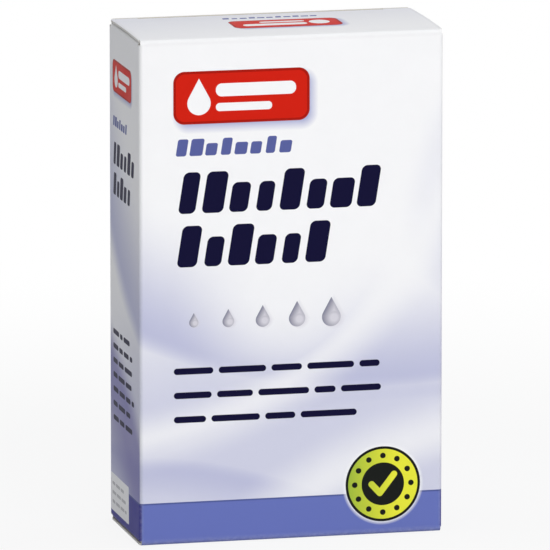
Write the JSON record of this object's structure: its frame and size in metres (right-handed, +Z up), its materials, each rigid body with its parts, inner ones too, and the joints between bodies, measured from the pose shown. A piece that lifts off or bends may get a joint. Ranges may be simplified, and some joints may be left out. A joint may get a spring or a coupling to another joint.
{
  "type": "folding carton",
  "caption": "Tuck-end folding carton of coated board, with a creased lid, tuck flap and dust flaps at the top and the base.",
  "frame": {"origin": "middle of the base, at the corners' lowest level", "axes": "+X to the right across the front, +Y from the front panel to the back panel, +Z up"},
  "size_m": [0.076, 0.034, 0.125],
  "materials": {
    "board": "clay-coated and varnished outside, uncoated inside"
  },
  "bodies": {
    "carton": {"carton_body": "board"},
    "top_lid": {"top_lid": "board"},
    "bottom_lid": {"bottom_lid": "board"}
  },
  "joints": [
    {"name": "top_lid_fold", "type": "hinge", "parent": "carton", "child": "top_lid", "pos_m": [0, -0.01671, 0.12471], "axis": [1, 0, 0], "range_deg": [0, 135]},
    {"name": "bottom_lid_fold", "type": "hinge", "parent": "carton", "child": "bottom_lid", "pos_m": [0, -0.01671, 0.00029], "axis": [-1, 0, 0], "range_deg": [0, 135]}
  ]
}
